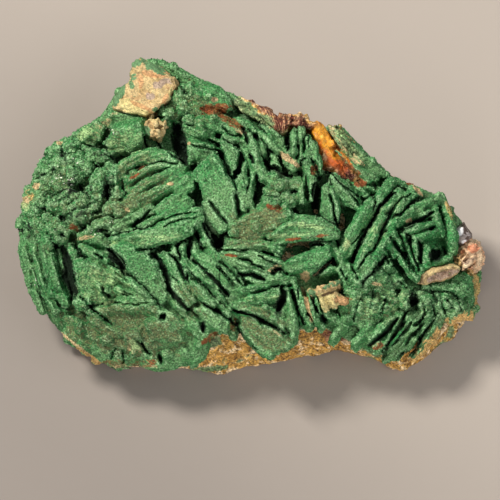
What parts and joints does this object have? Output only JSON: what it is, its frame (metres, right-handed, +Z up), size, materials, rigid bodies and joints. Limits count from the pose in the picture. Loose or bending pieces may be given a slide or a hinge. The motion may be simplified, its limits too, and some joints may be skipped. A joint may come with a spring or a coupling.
{
  "type": "malachite on barite specimen",
  "caption": "Hand specimen of green malachite-coated barite blades standing in crossing sheaves on an ochre barite matrix with a flat cut base.",
  "frame": {"origin": "middle of the cut underside, on the level the specimen rests on", "axes": "+X to the right along the length of the face, +Y to the back and top of the face, +Z up out of the blades"},
  "size_m": [0.0924, 0.0616, 0.0289],
  "materials": {
    "matrix": "rough iron-stained barite rock, ochre with rust and cream patches",
    "malachite": "dull green, finely grained and velvety, paler on the blade edges",
    "barite": "broken cream to tan crystal, satin on the cleavages",
    "pink_barite": "lumpy salmon pink and cream crystal",
    "galena": "dark grey metallic cleavage faces"
  },
  "bodies": {
    "root": {"barite_matrix": "matrix", "malachite_blades": "malachite", "corner_block": "barite", "broken_tip": "barite", "tan_blade": "barite", "broken_cluster": "barite", "pink_knob": "pink_barite", "galena_grain": "galena"}
  },
  "joints": []
}
